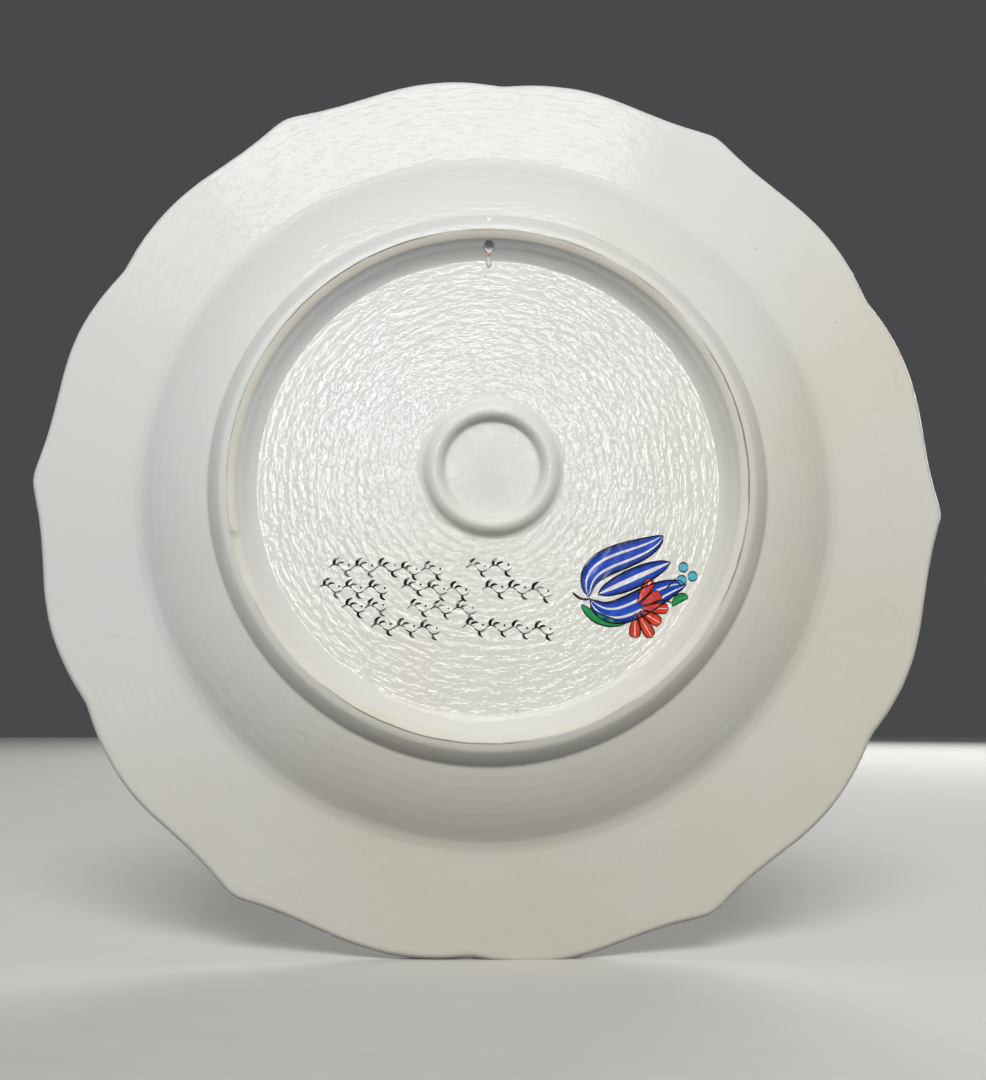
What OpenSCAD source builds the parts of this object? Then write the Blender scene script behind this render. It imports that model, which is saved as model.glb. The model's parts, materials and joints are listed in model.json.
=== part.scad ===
// Hand painted ceramic wall plate with a scalloped rim, a foot ring pierced for hanging and
// a small support ring under the middle. Millimetres, +Z up.
// The plate stands on edge as it hangs: -Y is out of the back, +Y is out of the painted face,
// and the origin is the centre of the foot ring's contact plane.
// Each piece is drawn face down first, as it lies on the wheel for turning, with its local +Z
// out of the back and height 0 at the foot's contact plane. hung() then stands it on edge.

/* [Scalloped rim] */
// Width across two opposite points of the rim
tip_span = 301; // [240:1:380]
// Number of points round the rim
points = 6; // [4:1:10]
// Turn of the points from the plate's right-hand side, in degrees
scallop_turn = -2; // [-30:1:30]
// How far a point stands out of the dips beside it
tip_rise = 3.5; // [0:0.5:8]
// How far a lobe stands out of the dips beside it
lobe_rise = 1.4; // [0:0.2:4]
// Depth of the nick between two lobes
nick_depth = 1.3; // [0:0.1:4]
// Slope of the rim, in degrees
rim_slope = 14; // [8:1:30]
// Thickness of the rim
rim_t = 6; // [4:0.5:9]

/* [Well] */
// Radius where the rim meets the curved side, on the back
junction_r = 111.5; // [100:0.5:120]
// Depth of that line behind the foot's contact plane
junction_depth = 20.8; // [14:0.1:28]
// Radius of the flat of the well, on the painted face
well_r = 84; // [60:1:92]
// Thickness of the floor inside the foot ring
floor_t = 6.5; // [4:0.5:9]

/* [Foot ring] */
// Outer radius of the band that the plate rests on
foot_r = 80.3; // [66:0.5:88]
// Width of that band
foot_land = 2.8; // [1.5:0.1:5]
// Depth of the hollow inside the ring
foot_hollow = 6.5; // [5:0.1:9]
// Run of the ring's inner slope
inner_run = 5.5; // [3:0.5:9]
// Run of the ring's outer slope
outer_run = 6.5; // [4:0.5:9]
// Depth of the groove outside the ring
groove_depth = 6.2; // [4.4:0.1:7]

/* [Hanging hole] */
// Diameter of the hole through the foot ring
hole_d = 2.8; // [1.5:0.1:3.4]
// Depth of the hole's axis behind the contact plane
hole_depth = 3.1; // [2.4:0.1:3.2]

/* [Support ring] */
// Outer radius at its base
support_r = 21.5; // [14:0.5:26]
// Radius of its crest
crest_r = 18; // [10:0.5:20]
// Inner radius at its base
support_in_r = 15; // [6:0.5:16]
// Height of its crest over the floor of the hollow
support_h = 3; // [1.5:0.1:4]
// How far the ring sits off centre, sideways and up
support_off = [1.1, 4.4];

/* [Glaze and paint] */
// Thickness of the glaze
glaze_t = 0.4; // [0.2:0.1:0.8]
// Thickness of the paint
paint_t = 0.2; // [0.1:0.05:0.4]

/* [Hidden] */
$fn = 96;

outline_step = 1.5;               // degrees between two corners of the rim's outline
curve_steps = 10;                 // straight steps along a curved part of a profile
tip_reach = 4;                    // degrees over which a point falls away
nick_reach = 3;                   // degrees over which a nick opens out
lobe_from = 8;                    // degrees from a point to the start of its lobe
dip_r = tip_span / 2 - tip_rise;  // radius in the dips beside a point
pitch = 360 / points;             // degrees from one point to the next
half_pitch = pitch / 2;           // degrees from a point to a nick
clip_r = tip_span / 2 + 20;       // well outside the rim
axis_h = 60;                      // more than the plate's height

floor_r = foot_r - foot_land - inner_run;
groove_r = foot_r + outer_run;
rim_rise = tan(rim_slope);
rim_drop = rim_t / cos(rim_slope);
face_junction_r = junction_r - 0.65 * rim_t;  // the face's own crease lies a little further in
well_depth = foot_hollow + floor_t;

// Height of the rim's back and of its painted face at radius r
function rim_back_h(r) = -junction_depth - (r - junction_r) * rim_rise;
function rim_face_h(r) = rim_back_h(r) - rim_drop;

// A curve from a to c that leaves and arrives along the lines through b
function curve(a, b, c, n = curve_steps) =
    [for (i = [0:n]) let (t = i / n) (1 - t) * (1 - t) * a + 2 * t * (1 - t) * b + t * t * c];

// The same, with b given as shares of the way across and of the way up from a to c
function bend(a, c, across, up, n = curve_steps) =
    curve(a, [a.x + across * (c.x - a.x), a.y + up * (c.y - a.y)], c, n);

// The rim's outline: points, lobes and nicks, each a smooth swell on the radius of the dips
function from_point(a) = half_pitch - abs(a % pitch - half_pitch);
function point_swell(t) = tip_rise * exp(-pow(t / tip_reach, 1.6));
function lobe_swell(t) =
    t < lobe_from ? 0 : lobe_rise * pow(sin(180 * (t - lobe_from) / (half_pitch - lobe_from)), 2);
function nick_swell(t) = -nick_depth * exp(-pow((half_pitch - t) / nick_reach, 1.5));
function rim_r(a) = let (t = from_point(a))
    dip_r + point_swell(t) + lobe_swell(t) + nick_swell(t);

module rim_outline(grow = 0) {
    rotate(scallop_turn)
        polygon([for (a = [0:outline_step:360 - outline_step]) (rim_r(a) + grow) * [cos(a), sin(a)]]);
}

module rim_cut(grow = 0) {
    translate([0, 0, -axis_h]) linear_extrude(axis_h + 1) rim_outline(grow);
}

// Stands a piece on edge, with its back to -Y
module hung() { rotate([90, 0, 0]) children(); }

// Lines of the profile, from the axis outwards
function inner_slope() = bend([floor_r, -foot_hollow], [foot_r - foot_land, 0], 0.27, 0.82);
function outer_slope() = bend([foot_r, 0], [groove_r, -groove_depth], 0.5, 0.25);
function back_side() =
    bend([groove_r, -groove_depth], [junction_r, -junction_depth], 0.55, 0.37);
function face_side() =
    bend([well_r, -well_depth], [face_junction_r, rim_face_h(face_junction_r)], 0.6, 0.25);
function back_line() = concat(outer_slope(), back_side(), [[clip_r, rim_back_h(clip_r)]]);
function face_line() = concat([[0, -well_depth]], face_side(), [[clip_r, rim_face_h(clip_r)]]);
function reversed(l) = [for (i = [len(l) - 1:-1:0]) l[i]];

// A coat that lies on a line of the profile, from height low to height high over it
module coat(line, low, high) {
    rotate_extrude() polygon(concat([for (p = line) p + [0, low]],
        reversed([for (p = line) p + [0, high]])));
}

// The same, run out to nothing at the line's first point, where the clay is wiped bare
module feathered_coat(line, high, fade = 4) {
    last = len(line) - 1;
    rotate_extrude() polygon(concat(line,
        [for (i = [last:-1:1]) line[i] + [0, high * min(1, i / fade)]]));
}

// ---- Clay ----

module dish_clay() {
    intersection() {
        rotate_extrude() polygon(concat([[0, -foot_hollow], [floor_r, -foot_hollow]], back_side(),
            [[clip_r, rim_back_h(clip_r)]], reversed(face_line())));
        rim_cut();
    }
}

module hanging_hole() {
    clear = 4;  // how far the drill starts and ends outside the ring
    translate([0, floor_r - clear, -hole_depth]) rotate([-90, 0, 0])
        cylinder(d = hole_d, h = groove_r - floor_r + 2 * clear);
}

module foot_ring_clay() {
    difference() {
        rotate_extrude() polygon(concat(inner_slope(), outer_slope()));
        hanging_hole();
    }
}

function support_line() = concat(
    bend([support_in_r, 0], [crest_r, support_h], 0.5, 1, 6),
    bend([crest_r, support_h], [support_r, 0], 0.5, 0, 6));

module on_support() {
    translate([support_off.x, support_off.y, -foot_hollow]) children();
}

module dish() { color("#d9cdb8") hung() dish_clay(); }
module foot_ring() { color("#d9cdb8") hung() foot_ring_clay(); }
module support_ring() {
    color("#d9cdb8") hung() on_support() rotate_extrude() polygon(support_line());
}

// ---- Glaze ----

// The back's glaze runs from the foot's bare band out over the rim's edge to the painted face
module back_glaze() {
    color("#dedfda") hung() difference() {
        union() {
            intersection() {
                feathered_coat(back_line(), glaze_t);
                rim_cut(glaze_t);
            }
            difference() {
                intersection() {
                    rotate_extrude() polygon([
                        [junction_r, rim_back_h(junction_r)], [clip_r, rim_back_h(clip_r)],
                        [clip_r, rim_face_h(clip_r)], [junction_r, rim_face_h(junction_r)]]);
                    rim_cut(glaze_t);
                }
                rim_cut();
            }
        }
        hanging_hole();
    }
}

module foot_hollow_glaze() {
    color("#d6d8d4") hung() difference() {
        feathered_coat(concat(reversed(inner_slope()), [[0, -foot_hollow]]), glaze_t);
        on_support() cylinder(r = support_r, h = foot_hollow);
        hanging_hole();
    }
}

module support_ring_glaze() {
    color("#e4e5e1") hung() on_support() coat(concat([[0, 0]], support_line()), 0, glaze_t);
}

module front_glaze() {
    color("#e6e4dc") hung() intersection() {
        coat(face_line(), -glaze_t, 0);
        rim_cut(glaze_t);
    }
}

// A run of glaze from the hole down the ring's inner slope, ending in a bead on the floor
module glaze_run() {
    run_w = 0.8 * hole_d;
    bead_r = floor_r - 3;
    top_r = floor_r + 0.35 * inner_run;
    color("#dfe0dc") hung() intersection() {
        coat(concat([[bead_r - run_w, -foot_hollow]], inner_slope()), glaze_t, 2 * glaze_t);
        translate([0, 0, -foot_hollow]) linear_extrude(foot_hollow - hole_depth - hole_d / 2) {
            translate([-run_w / 2, bead_r]) square([run_w, top_r - bead_r]);
            translate([0, bead_r]) circle(run_w / 2);
        }
    }
}

// ---- Brush marks, drawn flat ----

// A leaf, a petal or one touch of the brush: pointed at both ends and w wide between them
module leaf(from, via, to, w, n = 7) {
    mid = curve(from, via, to, n);
    across = [for (i = [0:n]) let (d = mid[min(i + 1, n)] - mid[max(i - 1, 0)])
        [-d.y, d.x] / norm(d) * (w / 2) * sin(180 * i / n)];
    polygon(concat([for (i = [0:n]) mid[i] + across[i]],
        [for (i = [n - 1:-1:1]) mid[i] - across[i]]));
}

// A line of even width
module line(from, via, to, w, n = 7) {
    mid = curve(from, via, to, n);
    across = [for (i = [0:n]) let (d = mid[min(i + 1, n)] - mid[max(i - 1, 0)])
        [-d.y, d.x] / norm(d) * w / 2];
    polygon(concat([for (i = [0:n]) mid[i] + across[i]], [for (i = [n:-1:0]) mid[i] - across[i]]));
}

module both_sides() {
    children();
    mirror([1, 0]) children();
}

// A tulip's outer petals, and its heart between them, standing on the origin
module tulip_petals(h, w) {
    both_sides() leaf([0.04 * w, 0], [0.62 * w, 0.25 * h], [0.42 * w, h], 0.36 * w);
}
module tulip_heart(h, w) { leaf([0, 0.22 * h], [0, 0.5 * h], [0, 0.86 * h], 0.3 * w); }

// A fan of petals on the origin
module carnation(r, petals = 7) {
    for (i = [0:petals - 1]) rotate(90 + 132 * (i / (petals - 1) - 0.5))
        leaf([0.25 * r, 0], [0.7 * r, 0], [r, 0], 0.3 * r, 5);
}

module rosette(r, petals = 6) {
    for (i = [0:petals - 1]) rotate(360 / petals * i) translate([0.64 * r, 0]) circle(0.3 * r);
}

// ---- Painting on the floor of the hollow ----

// Drawn on a hollow of this radius, and scaled with the real one
sprig_grid = 72;

module on_hollow() {
    hung() translate([0, 0, glaze_t - foot_hollow]) linear_extrude(paint_t)
        scale(floor_r / sprig_grid) children();
}

// The sprig's marks by colour. Where two colours meet, the one painted later stops at the other.
module blue_marks() {
    translate([31, -36]) rotate(-66) difference() {
        union() {
            both_sides() leaf([0.4, 0], [12, 7], [7.4, 29], 7.6);
            leaf([0, 4], [0, 15], [0, 27], 5);
        }
        both_sides() line([3.4, 4.6], [9, 11], [7, 22], 0.9);
    }
}

module red_marks() { translate([45, -39]) rotate(-106) carnation(10, 6); }

module green_marks() {
    leaf([28.5, -38], [33, -44], [42, -43.8], 3.2);
    leaf([56.5, -38.5], [59, -34.5], [61.5, -36], 2.6);
}

module turquoise_marks() {
    for (p = [[60.2, -26.4], [63, -29.2], [59.6, -30.4]]) translate(p) circle(1.5);
}

module stem_marks() {
    line([25.6, -34], [28.4, -37.4], [31.4, -36], 0.7);
    line([54, -33.5], [56.6, -31.6], [57.8, -29.4], 0.4);
    line([50.6, -37.4], [53.8, -35.6], [57.2, -38], 0.45);
}

module sprig_blue() { color("#1f3fa8") on_hollow() blue_marks(); }

module sprig_red() {
    color("#d8301f") on_hollow() difference() {
        red_marks();
        blue_marks();
    }
}

module sprig_green() {
    color("#1c8a3a") on_hollow() difference() {
        green_marks();
        blue_marks();
        red_marks();
    }
}

module sprig_turquoise() {
    color("#5fb3c9") on_hollow() difference() {
        turquoise_marks();
        blue_marks();
    }
}

module sprig_black() {
    color("#17140f") on_hollow() difference() {
        stem_marks();
        blue_marks();
        red_marks();
        green_marks();
        turquoise_marks();
    }
}

// Rows of brush flourishes, no lettering: a waved stem with a leaf at each crest and hollow.
// Each run is the place of its start and its number of waves.
scroll_runs = [[-49, -26.8, 5], [-7, -26.8, 2], [-52, -33, 3], [-27, -33.3, 3], [-2, -33.6, 3],
    [-45, -39.2, 2], [-25, -39.4, 3], [-36, -45.2, 3], [-8, -45.2, 4]];
wave = 7;          // length of a wave
wave_h = 0.9;      // height of its crest
run_fall = -0.04;  // slope of the rows

module scroll_run(waves) {
    for (i = [0:waves - 1]) translate([i * wave, i * wave * run_fall]) {
        line([0, 0], [wave / 4, 2 * wave_h], [wave / 2, 0], 0.4, 5);
        line([wave / 2, 0], [0.75 * wave, -2 * wave_h], [wave, wave * run_fall], 0.4, 5);
        leaf([0.22 * wave, wave_h], [0.15 * wave, 2.4], [0.42 * wave, 3], 1, 5);
        leaf([0.72 * wave, -wave_h], [0.65 * wave, -2.2], [0.9 * wave, -2.7], 0.9, 5);
    }
}

module scroll_black() {
    color("#17140f") on_hollow() for (run = scroll_runs)
        translate([run[0], run[1]]) scroll_run(run[2]);
}

// ---- Painting on the face ----

// The spray is drawn on a well of this radius, and scaled with the real one
well_grid = 84;

// Flat shapes seen from the face, laid on the floor of the well
module on_well() {
    hung() mirror([1, 0, 0]) translate([0, 0, -well_depth - glaze_t - paint_t])
        linear_extrude(paint_t) scale(well_r / well_grid) children();
}

// The same, laid on the slope of the rim
module on_rim() {
    hung() mirror([1, 0, 0]) intersection() {
        coat([[face_junction_r, rim_face_h(face_junction_r)], [clip_r, rim_face_h(clip_r)]],
            -glaze_t - paint_t, -glaze_t);
        translate([0, 0, -axis_h]) linear_extrude(axis_h) children();
    }
}

// Middle of the painted part of the rim, and the size its motifs are drawn in: the rim's width,
// or less where the points stand too close together for that
rim_mid_r = (face_junction_r + dip_r) / 2;
rim_unit = min(dip_r - face_junction_r, 0.6 * rim_mid_r * half_pitch * PI / 180);
rim_line = 0.05 * rim_unit;

// A flower or leaf set on the rim's middle line, at this turn from each point
module each_scallop(turn = 0) {
    for (k = [0:points - 1]) rotate(180 - scallop_turn + pitch * k + turn)
        translate([rim_mid_r, 0]) rotate(-90) scale(rim_unit) children();
}

tulip_stem = [-32, -8];
carnation_stem = [-40, 34];

module well_tulips() { both_sides() translate(tulip_stem) rotate(28) children(); }
module well_carnations() { both_sides() translate(carnation_stem) rotate(38) children(); }
module well_heart() { translate([0, 6]) children(); }
module rim_tulips() { each_scallop() translate([0, -0.28]) children(); }

// The marks by colour, in the well and on the rim. The rim's outline is drawn as seen from the
// back, so its line is turned over here.
module blue_in_well() {
    well_tulips() tulip_petals(26, 20);
    both_sides() translate([-58, -22]) rosette(8);
    difference() {
        circle(well_grid - 1);
        circle(well_grid - 2.6);
    }
}
module blue_on_rim() {
    rim_tulips() tulip_petals(0.6, 0.46);
    mirror([1, 0]) difference() {
        rim_outline(-3.4 * rim_line);
        rim_outline(-4.4 * rim_line);
    }
}

module turquoise_in_well() {
    both_sides() translate([-21, 66]) rosette(7);
    both_sides() leaf([-14, -54], [-40, -54], [-54, -40], 5);
    well_tulips() tulip_heart(26, 20);
}
module turquoise_on_rim() {
    for (side = [-1, 1]) each_scallop(side * half_pitch / 2)
        leaf([side * 0.2, -0.3], [side * -0.2, 0], [side * 0.1, 0.34], 0.14, 5);
}

module red_in_well() {
    well_heart() tulip_petals(42, 30);
    well_carnations() carnation(19);
}
module red_on_rim() {
    each_scallop(half_pitch) rosette(0.17);
    rim_tulips() tulip_heart(0.6, 0.46);
}

module green_in_well() {
    both_sides() {
        leaf([-1.6, -66], [-20, -42], [-9, -12], 6.5);
        leaf([-3.5, -66], [-46, -60], [-47, -30], 4.5);
        leaf([-37, 22], [-52, 14], [-54, 2], 5);
        leaf([-4, -8], [-18, -2], [-17, 18], 4.5);
    }
    well_heart() tulip_heart(42, 30);
}
module green_on_rim() {
    for (side = [-1, 1]) each_scallop(side * 0.3 * half_pitch)
        leaf([side * 0.08, -0.34], [side * 0.22, -0.05], [side * -0.02, 0.2], 0.12, 5);
}

module stems_in_well() {
    line([0, -66], [1.2, -30], [0, 6], 0.9);
    both_sides() {
        line([-0.6, -64], [-30, -34], tulip_stem, 0.8);
        line([-0.6, -60], [-22, 0], carnation_stem + [1.6, -1.2], 0.8);
    }
}

module front_blue() {
    color("#1f3fa8") {
        on_well() blue_in_well();
        on_rim() blue_on_rim();
    }
}

module front_turquoise() {
    color("#3aa6b4") {
        on_well() difference() {
            turquoise_in_well();
            blue_in_well();
        }
        on_rim() difference() {
            turquoise_on_rim();
            blue_on_rim();
        }
    }
}

module front_red() {
    color("#c8321e") {
        on_well() difference() {
            red_in_well();
            blue_in_well();
            turquoise_in_well();
        }
        on_rim() difference() {
            red_on_rim();
            blue_on_rim();
        }
    }
}

module front_green() {
    color("#2f8a4c") {
        on_well() difference() {
            green_in_well();
            blue_in_well();
            turquoise_in_well();
            red_in_well();
        }
        on_rim() difference() {
            green_on_rim();
            blue_on_rim();
            turquoise_on_rim();
        }
    }
}

module front_black() {
    color("#17140f") on_well() difference() {
        stems_in_well();
        blue_in_well();
        turquoise_in_well();
        red_in_well();
        green_in_well();
    }
}

dish();
foot_ring();
support_ring();
back_glaze();
foot_hollow_glaze();
support_ring_glaze();
front_glaze();
glaze_run();
sprig_blue();
sprig_red();
sprig_green();
sprig_turquoise();
sprig_black();
scroll_black();
front_blue();
front_turquoise();
front_red();
front_green();
front_black();
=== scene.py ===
import json
import math
import random

import bmesh
import bpy
from mathutils import Matrix, Vector


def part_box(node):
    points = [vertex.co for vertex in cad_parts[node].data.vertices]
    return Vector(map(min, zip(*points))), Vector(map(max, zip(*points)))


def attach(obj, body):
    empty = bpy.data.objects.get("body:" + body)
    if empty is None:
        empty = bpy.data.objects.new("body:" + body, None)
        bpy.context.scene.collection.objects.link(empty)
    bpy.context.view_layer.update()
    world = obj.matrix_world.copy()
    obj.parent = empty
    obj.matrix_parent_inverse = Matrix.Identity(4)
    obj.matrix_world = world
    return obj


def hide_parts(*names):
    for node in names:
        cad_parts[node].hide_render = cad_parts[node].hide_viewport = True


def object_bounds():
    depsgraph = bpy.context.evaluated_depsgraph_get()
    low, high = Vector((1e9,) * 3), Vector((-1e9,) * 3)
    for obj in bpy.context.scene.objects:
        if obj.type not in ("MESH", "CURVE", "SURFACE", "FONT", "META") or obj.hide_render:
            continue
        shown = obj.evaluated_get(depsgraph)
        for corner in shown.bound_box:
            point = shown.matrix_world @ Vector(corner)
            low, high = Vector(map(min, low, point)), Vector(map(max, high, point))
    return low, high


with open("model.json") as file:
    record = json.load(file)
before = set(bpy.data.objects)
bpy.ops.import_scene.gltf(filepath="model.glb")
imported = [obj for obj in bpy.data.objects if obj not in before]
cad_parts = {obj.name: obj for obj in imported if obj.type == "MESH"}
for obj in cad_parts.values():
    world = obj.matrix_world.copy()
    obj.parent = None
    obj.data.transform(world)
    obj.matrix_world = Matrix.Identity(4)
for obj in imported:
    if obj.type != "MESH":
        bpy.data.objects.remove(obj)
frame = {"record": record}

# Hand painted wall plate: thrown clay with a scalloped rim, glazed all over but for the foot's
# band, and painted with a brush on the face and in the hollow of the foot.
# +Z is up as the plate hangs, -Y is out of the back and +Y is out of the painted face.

CAD_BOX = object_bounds()
MM = 0.001

# ---- Sizes in millimetres, read off the clay and glaze parts where they give them ----

FOOT_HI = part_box("foot_ring")[1] / MM
HOLLOW_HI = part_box("foot_hollow_glaze")[1] / MM
SUPPORT_LO, SUPPORT_HI = (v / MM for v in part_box("support_ring"))
MOUNTS = {m["name"]: m for m in frame["record"]["mounts"]}
HOLE = MOUNTS["hanging_hole"]

GROOVE_R = FOOT_HI.x                  # bottom of the groove outside the foot
FOOT_HOLLOW = FOOT_HI.y               # depth of the hollow inside the foot
BAND_IN_R = HOLLOW_HI.x               # inner edge of the band that the plate rests on
BAND_W = 2.8
FLOOR_R = 72.0                        # flat floor of the hollow
GROOVE_DEPTH = 6.2
JUNCTION_R, JUNCTION_DEPTH = 111.5, 20.8
RIM_SLOPE = math.radians(14)
RIM_T = 6.0
DIP_R = 147.0                         # rim's radius in the dips beside its points
POINTS, FIRST_POINT = 6, -2.0         # points of the rim, and the turn of the first in degrees
HALF_PITCH = 180 / POINTS             # degrees from a point to the nick beside it
WELL_R, WELL_DEPTH = 84.0, 13.0
COAT = 0.4                            # thickness of the glaze
HOLE_DEPTH = HOLE["pos_m"][1] / MM
HOLE_R = HOLE["dims"]["r_mm"]
SUPPORT_AT = (SUPPORT_LO + SUPPORT_HI) / 2
SUPPORT_R = (SUPPORT_HI.x - SUPPORT_LO.x) / 2
SUPPORT_W, SUPPORT_H = 6.5, 3         # breadth and height of the support ring
SUPPORT_CREST_R = SUPPORT_R - 3.5
INNER_END = (0.066, 0.0145)           # the hanging hole's inner end: middle height and half reach
SHARP = math.radians(50)              # corners sharper than this stay crisp


def add_node(tree, kind, inputs=None, **settings):
    """Adds a node to a tree. Inputs go by name or number, and a node given for one is linked from
    its first output."""
    made = tree.nodes.new(kind)
    for name, value in settings.items():
        setattr(made, name, value)
    for key, value in (inputs or {}).items():
        if isinstance(key, int):
            socket = made.inputs[key]
        else:
            socket = next(s for s in made.inputs if s.name == key and s.enabled)
        if isinstance(value, bpy.types.Node):
            value = next(o for o in value.outputs if o.enabled)
        if isinstance(value, bpy.types.NodeSocket):
            tree.links.new(value, socket)
        else:
            socket.default_value = value
    return made


def in_scene(name, data):
    """An object for a mesh, a light or a camera, put into the scene."""
    obj = bpy.data.objects.new(name, data)
    bpy.context.scene.collection.objects.link(obj)
    return obj


def hex_colour(text):
    """An sRGB hex colour as linear red, green, blue and 1."""
    parts = [int(text[i:i + 2], 16) / 255 for i in (1, 3, 5)]
    return [c / 12.92 if c <= 0.04045 else ((c + 0.055) / 1.055) ** 2.4 for c in parts] + [1.0]


# ---- Profile lines of the plate, as (radius, height out of the back) ----

def bent(a, c, across, up, steps):
    """A curve from a to c whose end lines meet at these shares of the way across and up."""
    b = (a[0] + across * (c[0] - a[0]), a[1] + up * (c[1] - a[1]))
    return [tuple((1 - t) ** 2 * a[k] + 2 * t * (1 - t) * b[k] + t * t * c[k] for k in (0, 1))
            for t in (i / steps for i in range(steps + 1))]


def straight(a, b, steps):
    return [(a[0] + (b[0] - a[0]) * i / steps, a[1] + (b[1] - a[1]) * i / steps)
            for i in range(steps + 1)]


def joined(*lines):
    """Lines end to end, without the doubled points between them."""
    out = list(lines[0])
    for line in lines[1:]:
        out += line[1:] if math.dist(out[-1], line[0]) < 1e-6 else line
    return out


def raised(line, thickness):
    """The line moved out along its own normals by a thickness, or by one for each of its points."""
    out = []
    for i, p in enumerate(line):
        q, r = line[max(i - 1, 0)], line[min(i + 1, len(line) - 1)]
        dx, dh = r[0] - q[0], r[1] - q[1]
        d = thickness[i] if isinstance(thickness, list) else thickness
        run = math.hypot(dx, dh)
        out.append((p[0] - d * dh / run, p[1] + d * dx / run))
    return out


def rim_back_h(r):
    return -JUNCTION_DEPTH - (r - JUNCTION_R) * math.tan(RIM_SLOPE)


LIP_BULGE = 2.4        # how far the rounded lip stands out past the end of the rim's flat faces
ALONG = Vector((math.cos(RIM_SLOPE), -math.sin(RIM_SLOPE)))
OUT = Vector((math.sin(RIM_SLOPE), math.cos(RIM_SLOPE)))
LIP_REACH = math.hypot(LIP_BULGE * math.cos(RIM_SLOPE), RIM_T / 2 * math.sin(RIM_SLOPE))


def lip_line(steps=14):
    """Round the lip, from the back of the rim to its face."""
    r = DIP_R - LIP_REACH
    middle = Vector((r, rim_back_h(r) - RIM_T / 2 / math.cos(RIM_SLOPE)))
    turns = (math.pi * (0.5 - i / steps) for i in range(steps + 1))
    return [tuple(middle + LIP_BULGE * math.cos(t) * ALONG + RIM_T / 2 * math.sin(t) * OUT)
            for t in turns]


FACE_JUNCTION_R = JUNCTION_R - 0.65 * RIM_T
FACE_JUNCTION = (FACE_JUNCTION_R, rim_back_h(FACE_JUNCTION_R) - RIM_T / math.cos(RIM_SLOPE))
BAND_LEAN = 1.2        # the foot's band leans in: its inner edge is this much lower


def inner_slope(steps):
    """From the floor of the hollow up to the foot's band."""
    return bent((FLOOR_R, -FOOT_HOLLOW), (BAND_IN_R, -BAND_LEAN), 0.6, 0.3, steps)


def outer_slope(steps):
    return bent((BAND_IN_R + BAND_W, 0), (GROOVE_R, -GROOVE_DEPTH), 0.5, 0.25, steps)


def back_side(steps):
    return bent((GROOVE_R, -GROOVE_DEPTH), (JUNCTION_R, -JUNCTION_DEPTH), 0.55, 0.37, steps)


def face_side(steps):
    return bent(FACE_JUNCTION, (WELL_R, -WELL_DEPTH), 0.4, 0.75, steps)


def eased(line, passes):
    """The line with its corners worn round: each point drawn towards its neighbours' middle."""
    for _ in range(passes):
        line = [line[0]] + [((a[0] + 2 * b[0] + c[0]) / 4, (a[1] + 2 * b[1] + c[1]) / 4)
                            for a, b, c in zip(line, line[1:], line[2:])] + [line[-1]]
    return line


def back_line(fine):
    """The clay's back from the foot's band to the lip, with fine points to a part."""
    lip = lip_line()
    return joined(outer_slope(fine // 2), eased(joined(
        back_side(fine), straight((JUNCTION_R, -JUNCTION_DEPTH), lip[0], fine)), 14), lip)


def face_line(fine):
    """The clay's painted face from the lip to the middle of the well."""
    lip = lip_line()
    return eased(joined(straight(lip[-1], FACE_JUNCTION, fine), face_side(fine),
                        straight((WELL_R, -WELL_DEPTH), (0, -WELL_DEPTH), fine)), 3)


def new_shape_tree(name, wanted, made):
    """An empty tree that makes a shape, and the sockets of what it is given."""
    tree = bpy.data.node_groups.new(name, "GeometryNodeTree")
    for label, kind, value in wanted:
        socket = tree.interface.new_socket(label, in_out="INPUT", socket_type=kind)
        if value is not None:
            socket.default_value = value
    tree.interface.new_socket(made, in_out="OUTPUT", socket_type="NodeSocketGeometry")
    return tree, add_node(tree, "NodeGroupInput").outputs


# ---- Turning: every coat and the clay are a profile turned round the plate's axis ----

def point_swell(t):
    """How far the rim stands out of its dips at t degrees from the nearest point."""
    point = 3.5 * math.exp(-(t / 4) ** 1.6)
    lobe = 1.4 * math.sin(math.radians(180 * (t - 8) / (HALF_PITCH - 8))) ** 2 if t > 8 else 0
    nick = 1.3 * math.exp(-((HALF_PITCH - t) / 3) ** 1.5)
    return point + lobe - nick


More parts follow.
